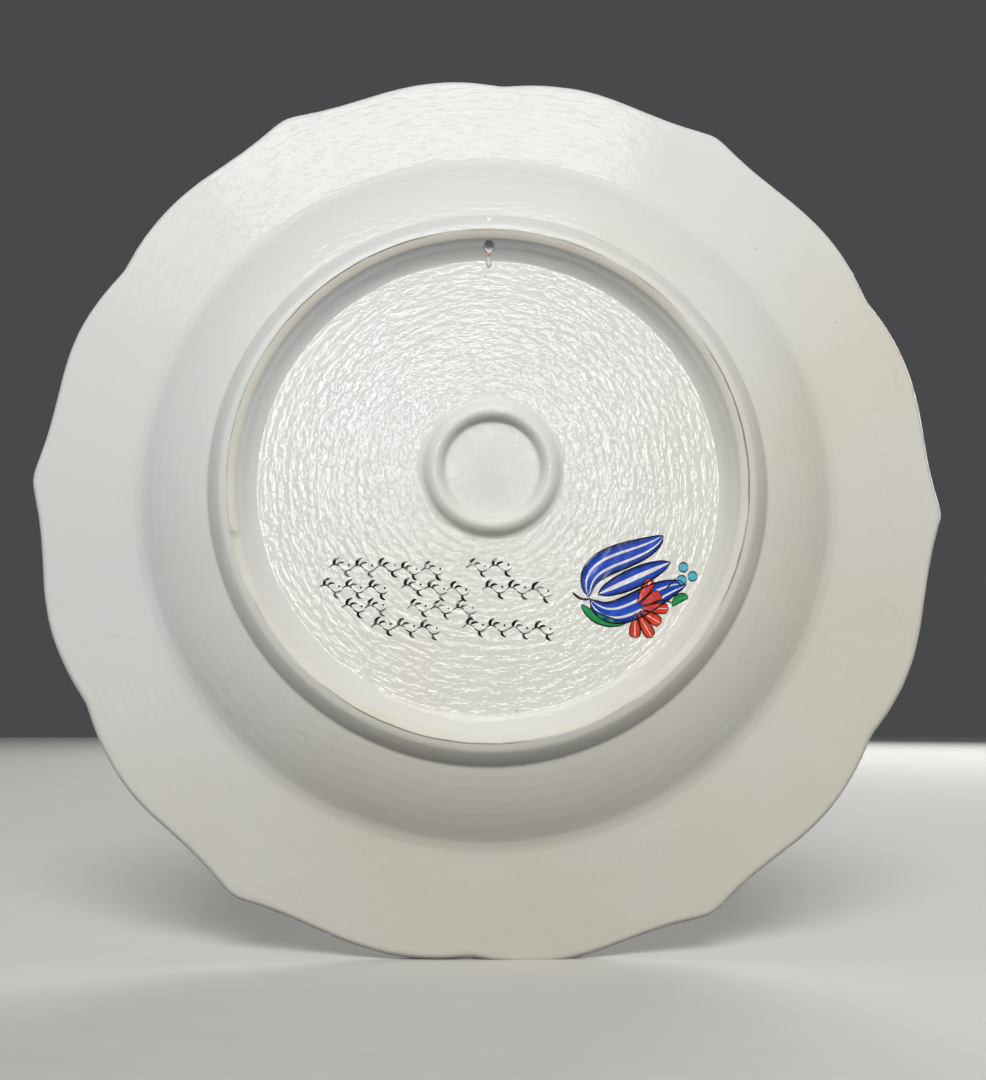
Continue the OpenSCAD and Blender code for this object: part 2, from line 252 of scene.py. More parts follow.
def turning_tree():
    """Turns a profile into a closed piece. The scallops pull each ring by the profile point's
    share of them, along the rim's own slope, and the clay's unevenness is laid over both."""
    tree, given = new_shape_tree("turned and scalloped", (
            ("Profile", "NodeSocketGeometry", None), ("Rings", "NodeSocketInt", 480),
            ("Points", "NodeSocketInt", POINTS), ("First point", "NodeSocketFloat", FIRST_POINT),
            ("Slope", "NodeSocketFloat", math.tan(RIM_SLOPE)), ("Sway x", "NodeSocketFloat", 0.0),
            ("Sway z", "NodeSocketFloat", 0.0), ("Uneven", "NodeSocketFloat", 0.0),
            ("Relief", "NodeSocketFloat", 0.0), ("Relief size", "NodeSocketFloat", 0.04),
            ("Ripple", "NodeSocketFloat", 0.0), ("Ripple pitch", "NodeSocketFloat", 0.0022),
            ("Centre", "NodeSocketVector", None), ("Finish", "NodeSocketMaterial", None)), "Piece")

    # A grid with one column for each ring position and one row for each profile point
    count = add_node(tree, "GeometryNodeAttributeDomainSize", {0: given["Profile"]})
    columns = add_node(tree, "ShaderNodeMath", {0: given["Rings"], 1: 1.0}, operation="ADD")
    grid = add_node(tree, "GeometryNodeMeshGrid", {"Vertices X": columns, "Vertices Y": count})
    index = add_node(tree, "GeometryNodeInputIndex")
    row = add_node(tree, "ShaderNodeMath", {0: index, 1: count}, operation="FLOORED_MODULO")
    share = add_node(tree, "ShaderNodeMath", {0: index, 1: count}, operation="DIVIDE")
    column = add_node(tree, "ShaderNodeMath", {0: share}, operation="FLOOR")
    turn = add_node(tree, "ShaderNodeMath", {0: column, 1: given["Rings"]}, operation="DIVIDE")
    angle = add_node(tree, "ShaderNodeMath", {0: turn, 1: math.tau}, operation="MULTIPLY")
    cosine = add_node(tree, "ShaderNodeMath", {0: angle}, operation="COSINE")
    sine = add_node(tree, "ShaderNodeMath", {0: angle}, operation="SINE")
    place = add_node(tree, "GeometryNodeInputPosition")
    sampled = add_node(tree, "GeometryNodeSampleIndex",
                       {"Geometry": given["Profile"], "Value": place, "Index": row},
                       data_type="FLOAT_VECTOR")
    profile = add_node(tree, "ShaderNodeSeparateXYZ", {0: sampled})
    free = add_node(tree, "GeometryNodeInputNamedAttribute", {"Name": "free"}, data_type="FLOAT")
    loose = add_node(tree, "GeometryNodeSampleIndex",
                     {"Geometry": given["Profile"], "Value": free, "Index": row}, data_type="FLOAT")

    # Degrees from the nearest point of the rim, and the swell there
    degrees = add_node(tree, "ShaderNodeMath", {0: turn, 1: 360.0, 2: 0.0}, operation="MULTIPLY_ADD")
    on_from = add_node(tree, "ShaderNodeMath", {0: degrees, 1: given["First point"]},
                       operation="SUBTRACT")
    pitch = add_node(tree, "ShaderNodeMath", {0: 360.0, 1: given["Points"]}, operation="DIVIDE")
    half = add_node(tree, "ShaderNodeMath", {0: pitch, 1: 0.5}, operation="MULTIPLY")
    within = add_node(tree, "ShaderNodeMath", {0: on_from, 1: pitch}, operation="FLOORED_MODULO")
    beside = add_node(tree, "ShaderNodeMath", {0: within, 1: half}, operation="SUBTRACT")
    away = add_node(tree, "ShaderNodeMath", {0: beside}, operation="ABSOLUTE")
    nicked = add_node(tree, "ShaderNodeMath", {0: away, 1: half}, operation="DIVIDE")
    swell = add_node(tree, "ShaderNodeFloatCurve", {"Value": nicked})
    curve = swell.mapping.curves[0]
    stops = [0, 0.5, 1, 2, 3, 4.5, 6, 8, 11, 15, 19, 22, 24, 25.5, 27, 28, 29, 29.6, 30]
    low, span = -2.0, 6.0
    for i, stop in enumerate(stops):
        spot = (stop / HALF_PITCH, (point_swell(HALF_PITCH - stop) - low) / span)
        if i < 2:
            curve.points[i].location = spot
        else:
            curve.points.new(*spot)
    swell.mapping.update()
    pull = add_node(tree, "ShaderNodeMath", {0: swell, 1: span * MM, 2: low * MM},
                    operation="MULTIPLY_ADD")

    # The hand-made rim: its outline sits a little off the middle, and no two lobes are alike
    sway_x = add_node(tree, "ShaderNodeMath", {0: cosine, 1: given["Sway x"]}, operation="MULTIPLY")
    sway = add_node(tree, "ShaderNodeMath", {0: sine, 1: given["Sway z"], 2: sway_x},
                    operation="MULTIPLY_ADD")
    circle = add_node(tree, "ShaderNodeCombineXYZ", {0: cosine, 1: sine, 2: 3.7})
    hand = add_node(tree, "ShaderNodeTexNoise", {"Vector": circle, "Scale": 2.3, "Detail": 1.0})
    about = add_node(tree, "ShaderNodeMath", {0: hand, 1: 0.5}, operation="SUBTRACT")
    drift = add_node(tree, "ShaderNodeMath", {0: about, 1: given["Uneven"], 2: sway},
                     operation="MULTIPLY_ADD")
    shift = add_node(tree, "ShaderNodeMath", {0: pull, 1: drift}, operation="ADD")
    radial = add_node(tree, "ShaderNodeMath", {0: shift, 1: loose}, operation="MULTIPLY")
    radius = add_node(tree, "ShaderNodeMath", {0: profile.outputs["X"], 1: radial}, operation="ADD")
    drop = add_node(tree, "ShaderNodeMath", {0: radial, 1: given["Slope"]}, operation="MULTIPLY")
    height = add_node(tree, "ShaderNodeMath", {0: profile.outputs["Z"], 1: drop},
                      operation="SUBTRACT")

    # Soft unevenness of the clay and the shallow rings left by the turning tool
    x = add_node(tree, "ShaderNodeMath", {0: radius, 1: cosine}, operation="MULTIPLY")
    z = add_node(tree, "ShaderNodeMath", {0: radius, 1: sine}, operation="MULTIPLY")
    flat = add_node(tree, "ShaderNodeCombineXYZ", {0: x, 2: z})
    per_metre = add_node(tree, "ShaderNodeMath", {0: 1.0, 1: given["Relief size"]},
                         operation="DIVIDE")
    lumps = add_node(tree, "ShaderNodeTexNoise", {"Vector": flat, "Scale": per_metre, "Detail": 1.5})
    lump = add_node(tree, "ShaderNodeMath", {0: lumps, 1: 0.5}, operation="SUBTRACT")
    relief = add_node(tree, "ShaderNodeMath", {0: lump, 1: given["Relief"]}, operation="MULTIPLY")
    ring = add_node(tree, "ShaderNodeMath", {0: radius, 1: given["Ripple pitch"]},
                    operation="DIVIDE")
    wander = add_node(tree, "ShaderNodeMath", {0: lumps, 1: 2.5, 2: ring}, operation="MULTIPLY_ADD")
    phase = add_node(tree, "ShaderNodeMath", {0: wander, 1: math.tau}, operation="MULTIPLY")
    wave = add_node(tree, "ShaderNodeMath", {0: phase}, operation="SINE")
    depth = add_node(tree, "ShaderNodeMath", {0: given["Ripple"], 1: lumps}, operation="MULTIPLY")
    lifted = add_node(tree, "ShaderNodeMath", {0: wave, 1: depth, 2: relief},
                      operation="MULTIPLY_ADD")
    out = add_node(tree, "ShaderNodeMath", {0: height, 1: lifted}, operation="ADD")
    back = add_node(tree, "ShaderNodeMath", {0: out, 1: -1.0}, operation="MULTIPLY")
    spot = add_node(tree, "ShaderNodeCombineXYZ", {0: x, 1: back, 2: z})
    centred = add_node(tree, "ShaderNodeVectorMath", {0: spot, 1: given["Centre"]}, operation="ADD")
    moved = add_node(tree, "GeometryNodeSetPosition", {"Geometry": grid, "Position": centred})
    closed = add_node(tree, "GeometryNodeMergeByDistance", {"Geometry": moved, "Distance": 2e-6})
    smooth = add_node(tree, "GeometryNodeSetShadeSmooth", {0: closed})
    real = add_node(tree, "GeometryNodeRealizeInstances", {0: smooth})
    done = add_node(tree, "GeometryNodeSetMaterial", {"Geometry": real, "Material": given["Finish"]})
    add_node(tree, "NodeGroupOutput", {0: done})
    return tree


def settled(obj, name):
    """The object's finished mesh as a plain piece, its faces turned outwards and no modifier left."""
    bpy.context.view_layer.update()
    mesh = bpy.data.meshes.new_from_object(obj.evaluated_get(bpy.context.evaluated_depsgraph_get()))
    bpy.data.objects.remove(obj)
    shape = bmesh.new()
    shape.from_mesh(mesh)
    bmesh.ops.remove_doubles(shape, verts=shape.verts, dist=1e-6)
    bmesh.ops.recalc_face_normals(shape, faces=shape.faces)
    shape.to_mesh(mesh)
    shape.free()
    mesh.set_sharp_from_angle(angle=SHARP)
    mesh.name = name
    return in_scene(name, mesh)


def with_tree(obj, tree, values):
    """Puts the tree on the object, its inputs set by their identifiers."""
    modifier = obj.modifiers.new(tree.name, "NODES")
    modifier.node_group = tree
    sockets = {s.name: s.identifier for s in tree.interface.items_tree if s.in_out == "INPUT"}
    for name, value in values.items():
        modifier[sockets[name]] = value
    return obj


TURNED = turning_tree()


def turned(name, loop, finish, rings=480, **values):
    """A closed profile loop in millimetres, turned into a piece. How free a point is to follow the
    scallops grows from nothing where the rim starts to all, 3 mm inside the rim's dips."""
    mesh = bpy.data.meshes.new(name)
    loop = loop + loop[:1]
    mesh.from_pydata([(r * MM, 0, h * MM) for r, h in loop],
                     [(i, i + 1) for i in range(len(loop) - 1)], [])
    free = mesh.attributes.new("free", "FLOAT", "POINT")
    for i, (r, _) in enumerate(loop):
        t = min(max((r - JUNCTION_R) / (DIP_R - 3 - JUNCTION_R), 0), 1)
        free.data[i].value = t * t * (3 - 2 * t)
    obj = in_scene(name, mesh)
    given = {"Rings": rings, "Finish": finish, "Sway x": 0.8 * MM, "Sway z": -1.4 * MM,
             "Uneven": 2.0 * MM}
    given.update({k.replace("_", " "): v for k, v in values.items()})
    return settled(with_tree(obj, TURNED, given), name)


def faded(line, thickness, start=0, end=0, thin=0.02):
    """Thickness of a coat at each point: it thins over the first and last few points."""
    n = len(line)
    return [max(thin, thickness * min(1, (i / start) if start else 1,
                                      ((n - 1 - i) / end) if end else 1)) for i in range(n)]


# ---- Brushwork: strokes drawn flat, then laid on the glaze under or over them ----

def laying_tree():
    """Lays flat strokes on a coat: one set as drawn, and another copied round the axis. Each stroke
    drops along Y onto the coat and becomes a thin closed film of colour that follows it."""
    tree, given = new_shape_tree("laid on the glaze", (
            ("Strokes", "NodeSocketGeometry", None), ("Round", "NodeSocketObject", None),
            ("Copies", "NodeSocketInt", POINTS), ("Coat", "NodeSocketObject", None),
            ("Side", "NodeSocketFloat", -1.0), ("Lift", "NodeSocketFloat", 0.06 * MM),
            ("Film", "NodeSocketFloat", 0.12 * MM), ("Finish", "NodeSocketMaterial", None)),
        "Film of colour")
    # One copy of the round set at each point of the rim
    stops = add_node(tree, "GeometryNodePoints", {"Count": given["Copies"]})
    number = add_node(tree, "GeometryNodeInputIndex")
    share = add_node(tree, "ShaderNodeMath", {0: number, 1: given["Copies"]}, operation="DIVIDE")
    turn = add_node(tree, "ShaderNodeMath", {0: share, 1: -math.tau}, operation="MULTIPLY")
    spin = add_node(tree, "ShaderNodeCombineXYZ", {1: turn})
    drawn = add_node(tree, "GeometryNodeObjectInfo", {"Object": given["Round"]})
    copies = add_node(tree, "GeometryNodeInstanceOnPoints", {
        "Points": stops, "Instance": drawn.outputs["Geometry"], "Rotation": spin})
    real = add_node(tree, "GeometryNodeRealizeInstances", {0: copies})
    flat = add_node(tree, "GeometryNodeJoinGeometry")
    tree.links.new(given["Strokes"], flat.inputs[0])
    tree.links.new(real.outputs[0], flat.inputs[0])
    # Drop each corner onto the coat. A stroke's own Y is its place in the order of painting.
    place = add_node(tree, "GeometryNodeInputPosition")
    axes = add_node(tree, "ShaderNodeSeparateXYZ", {0: place})
    far = add_node(tree, "ShaderNodeMath", {0: given["Side"], 1: 0.1}, operation="MULTIPLY")
    start = add_node(tree, "ShaderNodeCombineXYZ", {0: axes.outputs["X"], 1: far,
                                                   2: axes.outputs["Z"]})
    inward = add_node(tree, "ShaderNodeMath", {0: given["Side"], 1: -1.0}, operation="MULTIPLY")
    down = add_node(tree, "ShaderNodeCombineXYZ", {1: inward})
    coat = add_node(tree, "GeometryNodeObjectInfo", {"Object": given["Coat"]})
    ray = add_node(tree, "GeometryNodeRaycast", {
        "Target Geometry": coat.outputs["Geometry"], "Source Position": start,
        "Ray Direction": down, "Ray Length": 0.3})
    order = add_node(tree, "ShaderNodeMath", {0: axes.outputs["Y"], 1: given["Lift"]},
                     operation="ADD")
    sunk = add_node(tree, "ShaderNodeMath", {0: order, 1: given["Film"]}, operation="SUBTRACT")
    sided = add_node(tree, "ShaderNodeMath", {0: sunk, 1: given["Side"]}, operation="MULTIPLY")
    rise = add_node(tree, "ShaderNodeCombineXYZ", {1: sided})
    at = add_node(tree, "ShaderNodeVectorMath", {0: ray.outputs["Hit Position"], 1: rise},
                  operation="ADD")
    missed = add_node(tree, "FunctionNodeBooleanMath", {0: ray.outputs["Is Hit"]}, operation="NOT")
    over = add_node(tree, "GeometryNodeDeleteGeometry", {"Geometry": flat, "Selection": missed})
    laid = add_node(tree, "GeometryNodeSetPosition", {"Geometry": over, "Position": at})
    # Thicken it, with the laid strokes themselves as its underside
    tall = add_node(tree, "ShaderNodeMath", {0: given["Film"], 1: given["Side"]},
                    operation="MULTIPLY")
    up = add_node(tree, "ShaderNodeCombineXYZ", {1: tall})
    top = add_node(tree, "GeometryNodeExtrudeMesh", {"Mesh": laid, "Offset": up,
                                                     "Individual": False})
    under = add_node(tree, "GeometryNodeFlipFaces", {0: laid})
    film = add_node(tree, "GeometryNodeJoinGeometry")
    tree.links.new(top.outputs["Mesh"], film.inputs[0])
    tree.links.new(under.outputs[0], film.inputs[0])
    closed = add_node(tree, "GeometryNodeMergeByDistance", {"Geometry": film, "Distance": 1e-7})
    smooth = add_node(tree, "GeometryNodeSetShadeSmooth", {0: closed})
    made = add_node(tree, "GeometryNodeRealizeInstances", {0: smooth})
    done = add_node(tree, "GeometryNodeSetMaterial", {"Geometry": made, "Material": given["Finish"]})
    add_node(tree, "NodeGroupOutput", {0: done})
    return tree


LAYING = laying_tree()


def sweep(points, steps=14):
    """A smooth line led by its control points, from the first to the last."""
    line = []
    for i in range(steps + 1):
        t, rest = i / steps, list(points)
        while len(rest) > 1:
            rest = [tuple(a + (b - a) * t for a, b in zip(p, q)) for p, q in zip(rest, rest[1:])]
        line.append(rest[0])
    return line


def swelling(peak=0.5, blunt=0.7):
    """Width of a stroke along its length: nothing at its ends and fullest at the peak."""
    ahead = blunt * peak / (1 - peak)
    top = peak ** ahead * (1 - peak) ** blunt
    return lambda t: t ** ahead * (1 - t) ** blunt / top


def tapered(t):
    """A line that the brush starts and leaves with its tip."""
    return min(1.0, 7 * t + 0.25, 4 * (1 - t) + 0.2)


LEAF, PETAL, POINTED = swelling(0.5), swelling(0.62, 0.5), swelling(0.5, 0.62)
TOUCH, FAN = swelling(0.35, 0.6), swelling(0.74, 0.35)


class Brushwork:
    """All the strokes of one side of the plate, kept by colour. Drawn in millimetres, x right and
    y up as that side is seen."""

    def __init__(self, flip, seed):
        self.flip = flip
        self.hand = random.Random(seed)
        self.sets = {}
        self.place = [((0, 0), 0, 1, 1)]

    def at(self, spot, turn=0, size=1, mirrored=False):
        """Where and how large the next motif is, inside the ones already open."""
        self.place.append((spot, math.radians(turn), size, -1 if mirrored else 1))
        return self

    def __enter__(self):
        return self

    def __exit__(self, *_):
        self.place.pop()

    def put(self, p):
        for spot, turn, size, side in reversed(self.place):
            x, y = p[0] * size, p[1] * size
            p = (x * math.cos(turn) - y * math.sin(turn) + spot[0],
                 x * math.sin(turn) + y * math.cos(turn) + spot[1])
            p = (p[0] * side, p[1])
        return p

    def stroke(self, colour, points, width, shape=tapered, bands=((-1, 1),), steps=14, columns=4,
               outline=0.0):
        """One stroke of the brush, or several bands of it side by side with the glaze left white
        between them, and a thin dark line round it if it has an outline."""
        line = [self.put(p) for p in sweep(points, steps)]
        size = math.prod(abs(s[2]) for s in self.place)
        sides = []
        for i, p in enumerate(line):
            q, r = line[max(i - 1, 0)], line[min(i + 1, steps)]
            run = math.dist(q, r)
            half = max(0.03, width * size * shape(i / steps) / 2)
            sides.append((-(r[1] - q[1]) / run * half, (r[0] - q[0]) / run * half))
        spots, faces, marks = self.sets.setdefault(colour, ([], [], []))
        # Each stroke lies a hair higher than others near it, so that no two share a plane
        order = len(faces) % 29 * 0.0008
        for left, right in bands:
            first, along = len(spots), self.hand.random() * 50
            for i, (p, s) in enumerate(zip(line, sides)):
                along += math.dist(p, line[i - 1]) if i else 0
                for k in range(columns + 1):
                    a = left + (right - left) * k / columns
                    spots.append((p[0] + a * s[0], order, p[1] + a * s[1]))
                    marks.append((along, a))
                    if i and k:
                        here = first + i * (columns + 1) + k
                        faces.append((here, here - 1, here - columns - 2, here - columns - 1))
        if outline:
            for side in (-1, 1):
                edge = [(p[0] + side * s[0], p[1] + side * s[1]) for p, s in zip(line, sides)]
                self.edging("black", edge, outline)

    def edging(self, colour, line, width):
        """A thin line along points that are already in place."""
        spots, faces, marks = self.sets.setdefault(colour, ([], [], []))
        first, along, last = len(spots), 0, len(line) - 1
        order = 0.012 + len(faces) % 31 * 0.0008
        for i, p in enumerate(line):
            q, r = line[max(i - 1, 0)], line[min(i + 1, last)]
            run = max(math.dist(q, r), 1e-6)
            half = width / 2 * (0.55 + 0.45 * math.sin(math.pi * i / last)) * \
                (0.85 + 0.3 * self.hand.random())
            along += math.dist(p, line[i - 1]) if i else 0
            for k in (0, 1):
                a = 2 * k - 1
                spots.append((p[0] - a * (r[1] - q[1]) / run * half, order,
                              p[1] + a * (r[0] - q[0]) / run * half))
                marks.append((along, a))
            if i:
                here = first + 2 * i + 1
                faces.append((here, here - 1, here - 3, here - 2))

    def dab(self, colour, spot, r, outline=0.0):
        """A round touch of the brush."""
        x, y = spot
        self.stroke(colour, [(x - r, y), (x, y), (x + r, y)], 2 * r,
                    lambda t: math.sqrt(max(0.02, 1 - (2 * t - 1) ** 2)), steps=12,
                    outline=outline)

    def arc(self, colour, radius, width, sweep_turn, steps):
        """A border line pulled round the axis, with its radius given at each turn in degrees."""
        spots, faces, marks = self.sets.setdefault(colour, ([], [], []))
        first = len(spots)
        for i in range(steps + 1):
            turn = sweep_turn * i / steps
            a = math.radians(turn)
            for k in (-1, 0, 1):
                r = radius(turn) + k * width / 2
                spots.append((r * math.cos(a), 0.002, r * math.sin(a)))
                marks.append((r * a, k))
                if i and k > -1:
                    here = first + 3 * i + k + 1
                    faces.append((here, here - 1, here - 4, here - 3))

    def mesh(self, name, colour):
        spots, faces, marks = self.sets.get(colour, ([], [], []))
        mesh = bpy.data.meshes.new(name)
        side = -1 if self.flip else 1
        mesh.from_pydata([(side * x * MM, y * MM, z * MM) for x, y, z in spots], [], faces)
        layer = mesh.uv_layers.new(name="along and across")
        for loop in mesh.loops:
            layer.data[loop.index].uv = marks[loop.vertex_index]
        return mesh


def laid(name, drawn, colour, coat, finish, side, round_set=None, **values):
    """The strokes of one colour, laid on a coat as one piece."""
    obj = in_scene(name, drawn.mesh(name, colour))
    round_mesh = round_set.mesh(name, colour) if round_set else bpy.data.meshes.new("none")
    ring = in_scene(name + "_round", round_mesh)
    given = {"Round": ring, "Coat": coat, "Finish": finish, "Side": float(side)}
    given.update({k.replace("_", " "): v for k, v in values.items()})
    piece = settled(with_tree(obj, LAYING, given), name)
    bpy.data.objects.remove(ring)
    return piece


# ---- Finishes ----

def new_finish(name):
    material = bpy.data.materials.new(name)
    material.use_nodes = True
    material.node_tree.nodes.clear()
    return material, material.node_tree


def by_the_hole(tree, where, full, none):
    """1 within full millimetres of the hanging hole's wall, falling to 0 at none millimetres."""
    off = add_node(tree, "ShaderNodeVectorMath", {0: where, 1: (0, HOLE_DEPTH * MM, 0)},
                   operation="SUBTRACT")
    across = add_node(tree, "ShaderNodeVectorMath", {0: off, 1: (1, 1, 0)}, operation="MULTIPLY")
    away = add_node(tree, "ShaderNodeVectorMath", {0: across}, operation="LENGTH")
    near = add_node(tree, "ShaderNodeMapRange", {"Value": away.outputs["Value"],
                                                "From Min": (HOLE_R + none) * MM,
                                                "From Max": (HOLE_R + full) * MM})
    axes = add_node(tree, "ShaderNodeSeparateXYZ", {0: where})
    inner_end = add_node(tree, "ShaderNodeMath", {0: axes.outputs["Z"], 1: INNER_END[0],
                                                   2: INNER_END[1]}, operation="COMPARE")
    return add_node(tree, "ShaderNodeMath", {0: near, 1: inner_end}, operation="MULTIPLY")


def milk_glaze(name, peel=1.0, rings=0.0, streak=5.0, cream_and_shade=1.0):
    """Tin-white pottery glaze, poured and fired: glossy and slightly wavy like orange peel, greyish
    white drifting to cream, with painted shade making it darker and creamier low on the right, a few
    pinholes and specks, and long faint craze lines.
    peel sets how wavy it is, rings how much of the turning shows through it, and streak how short
    the turning's scratches are."""
    material, tree = new_finish(name)
    where = add_node(tree, "ShaderNodeTexCoord").outputs["Object"]
    # Colour: cool white drifting to cream in clouds 60 mm across, and painted shade that makes it
    # darker and creamier low on the right
    clouds = add_node(tree, "ShaderNodeTexNoise", {"Vector": where, "Scale": 16.0, "Detail": 3.0})
    axes = add_node(tree, "ShaderNodeSeparateXYZ", {0: where})
    # Painted shade: the colour darkens towards the lower right, on top of the random cream clouds
    shade_low_right = add_node(tree, "ShaderNodeMath", {0: axes.outputs["X"], 1: axes.outputs["Z"]},
                         operation="SUBTRACT")
    lean = add_node(tree, "ShaderNodeMapRange", {"Value": shade_low_right, "From Min": -0.14,
                                                "From Max": 0.22, "To Min": -0.25, "To Max": 0.5})
    cream_and_painted_shade = add_node(tree, "ShaderNodeMath", {0: clouds, 1: lean}, operation="ADD")
    amount = add_node(tree, "ShaderNodeMapRange", {"Value": cream_and_painted_shade, "From Min": 0.35,
                                                  "From Max": 1.0, "To Max": cream_and_shade})
    body = add_node(tree, "ShaderNodeMix", {"Factor": amount, "A": hex_colour("#DADBD7"),
                                            "B": hex_colour("#D6D1C1")}, data_type="RGBA")
    # Specks of iron up to 0.8 mm across, one to every few square centimetres
    cells = add_node(tree, "ShaderNodeTexVoronoi", {"Vector": where, "Scale": 110.0})
    chance = add_node(tree, "ShaderNodeSeparateXYZ", {0: cells.outputs["Color"]})
    rare = add_node(tree, "ShaderNodeMath", {0: chance.outputs["X"], 1: 0.86},
                    operation="GREATER_THAN")
    near = add_node(tree, "ShaderNodeMapRange", {"Value": cells.outputs["Distance"],
                                                "From Min": 0.045, "From Max": 0.02})
    speck = add_node(tree, "ShaderNodeMath", {0: rare, 1: near}, operation="MULTIPLY")
    faint = add_node(tree, "ShaderNodeMath", {0: speck, 1: 0.55}, operation="MULTIPLY")
    dotted = add_node(tree, "ShaderNodeMix", {"Factor": faint, "A": body,
                                              "B": hex_colour("#5C5346")}, data_type="RGBA")
    # Craze lines: cracks about 0.2 mm wide between plates 45 mm across, most of them closed up
    bend = add_node(tree, "ShaderNodeTexNoise", {"Vector": where, "Scale": 30.0, "Detail": 4.0})
    bent_by = add_node(tree, "ShaderNodeVectorMath", {0: bend.outputs["Color"], "Scale": 0.02},
                       operation="SCALE")
    strayed = add_node(tree, "ShaderNodeVectorMath", {0: where, 1: bent_by}, operation="ADD")
    plates = add_node(tree, "ShaderNodeTexVoronoi", {"Vector": strayed, "Scale": 22.0},
                      feature="DISTANCE_TO_EDGE")
    crack = add_node(tree, "ShaderNodeMapRange", {"Value": plates, "From Min": 0.0045,
                                                 "From Max": 0.0015})
    patches = add_node(tree, "ShaderNodeTexNoise", {"Vector": where, "Scale": 11.0, "Detail": 2.0})
    shown = add_node(tree, "ShaderNodeMapRange", {"Value": patches, "From Min": 0.5,
                                                 "From Max": 0.62})
    craze = add_node(tree, "ShaderNodeMath", {0: crack, 1: shown}, operation="MULTIPLY")
    craze_tint = add_node(tree, "ShaderNodeMath", {0: craze, 1: 0.14}, operation="MULTIPLY")
    crazed = add_node(tree, "ShaderNodeMix", {"Factor": craze_tint, "A": dotted,
                                              "B": hex_colour("#A59D8B")}, data_type="RGBA")
    # The glaze broke thin round the hanging hole, where the red clay shows through it
    thin = by_the_hole(tree, where, 0.0, 0.6)
    thin_tint = add_node(tree, "ShaderNodeMath", {0: thin, 1: 0.7}, operation="MULTIPLY")
    reddened = add_node(tree, "ShaderNodeMix", {"Factor": thin_tint, "A": crazed,
                                                "B": hex_colour("#A5654A")}, data_type="RGBA")
    # Surface: waves 1.5 and 8 mm long, the turning's streaks under them, and pits at the specks
    fine = add_node(tree, "ShaderNodeTexNoise", {"Vector": where, "Scale": 640.0, "Detail": 1.5})
    broad = add_node(tree, "ShaderNodeTexNoise", {"Vector": where, "Scale": 120.0, "Detail": 1.0})
    broad_part = add_node(tree, "ShaderNodeMath", {0: broad, 1: 1.3}, operation="MULTIPLY")
    waves = add_node(tree, "ShaderNodeMath", {0: fine, 1: broad_part}, operation="ADD")
    flat = add_node(tree, "ShaderNodeCombineXYZ", {0: axes.outputs["X"], 1: axes.outputs["Z"]})
    radius = add_node(tree, "ShaderNodeVectorMath", {0: flat}, operation="LENGTH")
    angle = add_node(tree, "ShaderNodeMath", {0: axes.outputs["Z"], 1: axes.outputs["X"]},
                     operation="ARCTAN2")
    ring = add_node(tree, "ShaderNodeMath", {0: radius.outputs["Value"], 1: 700.0},
                    operation="MULTIPLY")
    round_it = add_node(tree, "ShaderNodeMath", {0: angle, 1: streak}, operation="MULTIPLY")
    scraped = add_node(tree, "ShaderNodeCombineXYZ", {0: ring, 1: round_it})
    rings_seen = add_node(tree, "ShaderNodeTexNoise", {"Vector": scraped, "Scale": 1.0,
                                                       "Detail": 2.0})
    with_rings = add_node(tree, "ShaderNodeMath", {0: rings_seen, 1: rings, 2: waves},
                          operation="MULTIPLY_ADD")
    pitted = add_node(tree, "ShaderNodeMath", {0: speck, 1: -2.0, 2: with_rings},
                      operation="MULTIPLY_ADD")
    cracked = add_node(tree, "ShaderNodeMath", {0: craze, 1: -0.2, 2: pitted},
                       operation="MULTIPLY_ADD")
    # The clear glaze waves with all of it, and the white ground under it only a little
    bump = add_node(tree, "ShaderNodeBump", {"Height": cracked, "Strength": 1.0,
                                             "Distance": 0.03 * MM * peel})
    under = add_node(tree, "ShaderNodeBump", {"Height": cracked, "Strength": 1.0,
                                              "Distance": 0.003 * MM * peel})
    shader = add_node(tree, "ShaderNodeBsdfPrincipled", {
        "Base Color": reddened, "Roughness": 0.4, "Specular IOR Level": 0.1, "Normal": under,
        "Coat Weight": 1.0, "Coat Roughness": 0.045, "Coat IOR": 1.52, "Coat Normal": bump})
    add_node(tree, "ShaderNodeOutputMaterial", {"Surface": shader})
    return material


